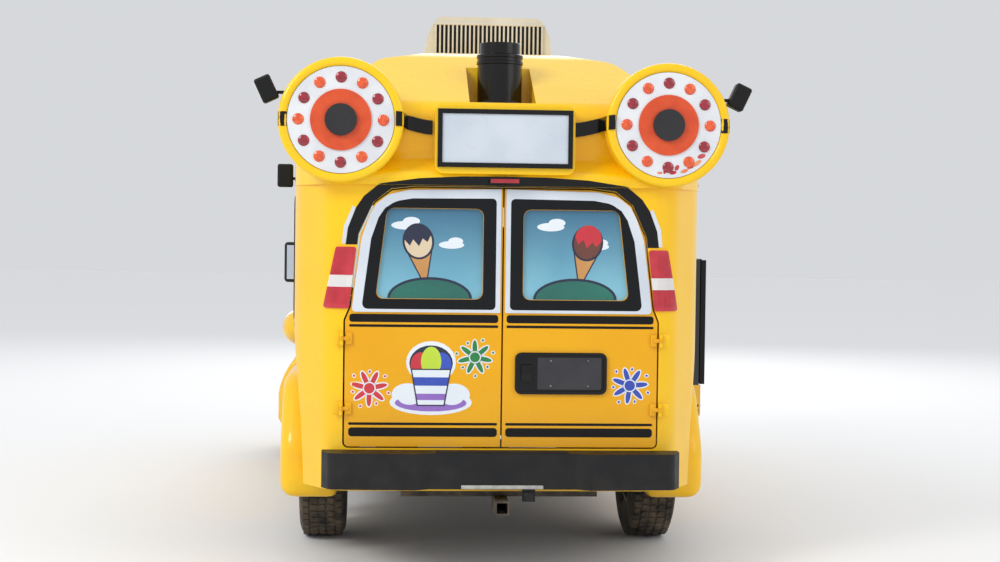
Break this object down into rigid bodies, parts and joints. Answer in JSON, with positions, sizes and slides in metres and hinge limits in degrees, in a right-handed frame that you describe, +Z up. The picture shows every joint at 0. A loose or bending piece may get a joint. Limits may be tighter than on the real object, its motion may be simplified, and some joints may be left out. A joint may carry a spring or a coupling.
{
  "type": "ice cream truck",
  "caption": "Yellow one-box ice cream truck with a moulded high roof, round warning lamp pods, bulging fenders, rear doors and a side serving hatch over a flavour station.",
  "frame": {"origin": "on the ground, under the middle of the vehicle's length and width", "axes": "+Y is the direction of travel, +X the vehicle's right, +Z up"},
  "size_m": [2.5798, 5.6896, 2.8],
  "materials": {
    "body_paint": "gloss yellow",
    "moulded_roof": "gloss yellow gel coat",
    "black_plastic": "grained black",
    "black_metal": "satin black",
    "clear_glass": "tinted",
    "film_glass": "pale blue printed film",
    "lamp_lens": "red and clear lens",
    "lamp_plate": "white plate with orange ring",
    "sign_face": "blank pale board in a black frame",
    "air_shroud": "beige shroud",
    "chassis_steel": "black chassis paint",
    "cast_steel": "bare casting",
    "exhaust_steel": "weathered steel",
    "wheel_steel": "silver wheel",
    "tyre_rubber": "black rubber",
    "grey_trim": "grey moulded plastic",
    "seat_cloth": "grey cloth",
    "counter_steel": "brushed stainless sheet",
    "floor_vinyl": "grey ribbed vinyl"
  },
  "bodies": {
    "van_body": {"body_side_left": "body_paint", "body_side_right": "body_paint", "rear_frame": "body_paint", "cowl_panel": "body_paint", "nose_panel": "body_paint", "fenders": "body_paint", "wheel_liners": "black_plastic", "roof_cap": "moulded_roof", "floor_pan": "floor_vinyl", "windshield": "clear_glass", "side_windows": "film_glass", "grille": "black_plastic", "headlamps": "body_paint", "tail_lamps": "lamp_lens", "flood_lamps": "black_plastic", "warning_lamps": "lamp_plate", "sign_boards": "sign_face", "front_bumper": "black_plastic", "rear_bumper": "black_plastic", "hitch_receiver": "black_metal", "air_conditioner": "air_shroud", "vent_stack": "black_plastic", "dashboard": "grey_trim", "front_seats": "seat_cloth", "work_counter": "counter_steel", "frame_rails": "chassis_steel", "front_suspension": "chassis_steel", "rear_axle": "chassis_steel", "exhaust_pipe": "exhaust_steel", "fuel_tank": "black_plastic", "engine_block": "cast_steel", "flavour_station": "body_paint"},
    "steer_left": {"knuckle_left": "cast_steel"},
    "steer_right": {"knuckle_right": "cast_steel"},
    "wheel_front_left": {"tyre_front_left": "tyre_rubber", "rim_front_left": "wheel_steel"},
    "wheel_front_right": {"tyre_front_right": "tyre_rubber", "rim_front_right": "wheel_steel"},
    "wheel_rear_left": {"tyre_rear_left": "tyre_rubber", "rim_rear_left": "wheel_steel"},
    "wheel_rear_right": {"tyre_rear_right": "tyre_rubber", "rim_rear_right": "wheel_steel"},
    "door_front_left": {"front_door_left": "body_paint", "front_door_glass_left": "clear_glass", "mirror_left": "black_plastic"},
    "door_front_right": {"front_door_right": "body_paint", "front_door_glass_right": "clear_glass", "mirror_right": "black_plastic"},
    "door_rear_left": {"rear_door_left": "body_paint", "rear_door_glass_left": "film_glass"},
    "door_rear_right": {"rear_door_right": "body_paint", "rear_door_glass_right": "film_glass"},
    "hood_panel": {"hood": "body_paint"},
    "hatch_panel": {"serving_hatch": "body_paint"},
    "station_cover": {"flavour_cover": "black_plastic"}
  },
  "joints": [
    {"name": "steer_left_turn", "type": "hinge", "parent": "van_body", "child": "steer_left", "pos_m": [-0.8, 1.875, 0.387], "axis": [0, 0, 1], "range_deg": [-30, 30]},
    {"name": "wheel_front_left_spin", "type": "hinge", "parent": "steer_left", "child": "wheel_front_left", "pos_m": [-0.865, 1.875, 0.387], "axis": [1, 0, 0], "continuous": true},
    {"name": "wheel_rear_left_spin", "type": "hinge", "parent": "van_body", "child": "wheel_rear_left", "pos_m": [-0.865, -1.555, 0.387], "axis": [1, 0, 0], "continuous": true},
    {"name": "door_front_left_swing", "type": "hinge", "parent": "van_body", "child": "door_front_left", "pos_m": [-0.975, 1.337, 1.15], "axis": [0, 0, -1], "range_deg": [0, 65]},
    {"name": "door_rear_left_swing", "type": "hinge", "parent": "van_body", "child": "door_rear_left", "pos_m": [-0.757, -2.69, 1.2], "axis": [0, 0, -1], "range_deg": [0, 165]},
    {"name": "steer_right_turn", "type": "hinge", "parent": "van_body", "child": "steer_right", "pos_m": [0.8, 1.875, 0.387], "axis": [0, 0, 1], "range_deg": [-30, 30]},
    {"name": "wheel_front_right_spin", "type": "hinge", "parent": "steer_right", "child": "wheel_front_right", "pos_m": [0.865, 1.875, 0.387], "axis": [1, 0, 0], "continuous": true},
    {"name": "wheel_rear_right_spin", "type": "hinge", "parent": "van_body", "child": "wheel_rear_right", "pos_m": [0.865, -1.555, 0.387], "axis": [1, 0, 0], "continuous": true},
    {"name": "door_front_right_swing", "type": "hinge", "parent": "van_body", "child": "door_front_right", "pos_m": [0.975, 1.337, 1.15], "axis": [0, 0, 1], "range_deg": [0, 65]},
    {"name": "door_rear_right_swing", "type": "hinge", "parent": "van_body", "child": "door_rear_right", "pos_m": [0.757, -2.69, 1.2], "axis": [0, 0, 1], "range_deg": [0, 165]},
    {"name": "hood_lift", "type": "hinge", "parent": "van_body", "child": "hood_panel", "pos_m": [0, 1.983, 1.191], "axis": [1, 0, 0], "range_deg": [0, 50]},
    {"name": "hatch_lift", "type": "hinge", "parent": "van_body", "child": "hatch_panel", "pos_m": [1.002, -0.44, 2.059], "axis": [0, -1, 0], "range_deg": [0, 90]},
    {"name": "cover_lift", "type": "hinge", "parent": "van_body", "child": "station_cover", "pos_m": [1.253, -0.44, 1.49], "axis": [0, -1, 0], "range_deg": [0, 95]}
  ],
  "couplings": [
    {"joint": "steer_right_turn", "follows": "steer_left_turn", "ratio": 1}
  ]
}
